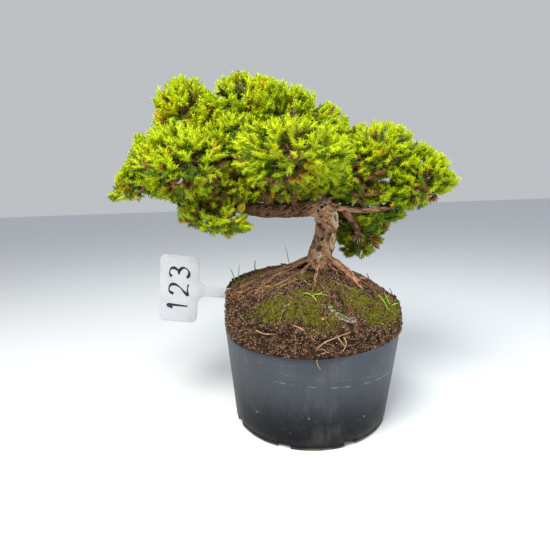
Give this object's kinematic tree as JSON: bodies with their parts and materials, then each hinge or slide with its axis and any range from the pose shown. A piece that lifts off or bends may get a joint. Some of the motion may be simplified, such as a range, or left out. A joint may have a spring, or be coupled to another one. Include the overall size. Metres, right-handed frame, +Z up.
{
  "type": "potted dwarf juniper, trained as a small bonsai",
  "caption": "Dwarf juniper with a bent trunk, surface roots and dense pads of needles, in a cut-down round black nursery pot with its mossy root ball and a white plant label.",
  "frame": {"origin": "centre of the pot's flat underside, on the surface it stands on", "axes": "+Z up; -Y is the tree's front; +X to the right seen from the front"},
  "size_m": [0.299, 0.1745, 0.2954],
  "materials": {
    "pot_plastic": "satin dark grey nursery-pot plastic, scuffed, dusty towards the foot",
    "peat": "dark fibrous peat bound by fine roots, with moss on top",
    "bark": "flaking pinkish-brown juniper bark, matt",
    "dead_wood": "dry red-brown dead wood, matt",
    "needles": "fresh yellow-green needles, soft satin",
    "label_plastic": "white label plastic with plain hand-drawn digits"
  },
  "bodies": {
    "root": {"pot": "pot_plastic", "root_ball": "peat", "plant_label": "label_plastic", "trunk": "bark", "left_main_bough": "bark", "left_far_bough": "bark", "left_rising_bough": "bark", "left_front_bough": "bark", "left_hanging_bough": "bark", "top_left_bough": "bark", "front_upright_bough": "bark", "top_centre_bough": "bark", "back_left_bough": "bark", "back_centre_bough": "bark", "right_back_bough": "bark", "right_upper_bough": "bark", "right_low_bough": "bark", "right_rear_bough": "bark", "lower_right_bough": "bark", "hanging_snag": "dead_wood", "left_tip_foliage": "needles", "left_upper_foliage": "needles", "left_front_foliage": "needles", "left_hanging_foliage": "needles", "top_left_foliage": "needles", "front_foliage": "needles", "top_centre_foliage": "needles", "back_left_foliage": "needles", "back_centre_foliage": "needles", "right_back_foliage": "needles", "right_upper_foliage": "needles", "right_tip_foliage": "needles", "right_rear_foliage": "needles", "lower_right_foliage": "needles"}
  },
  "joints": []
}
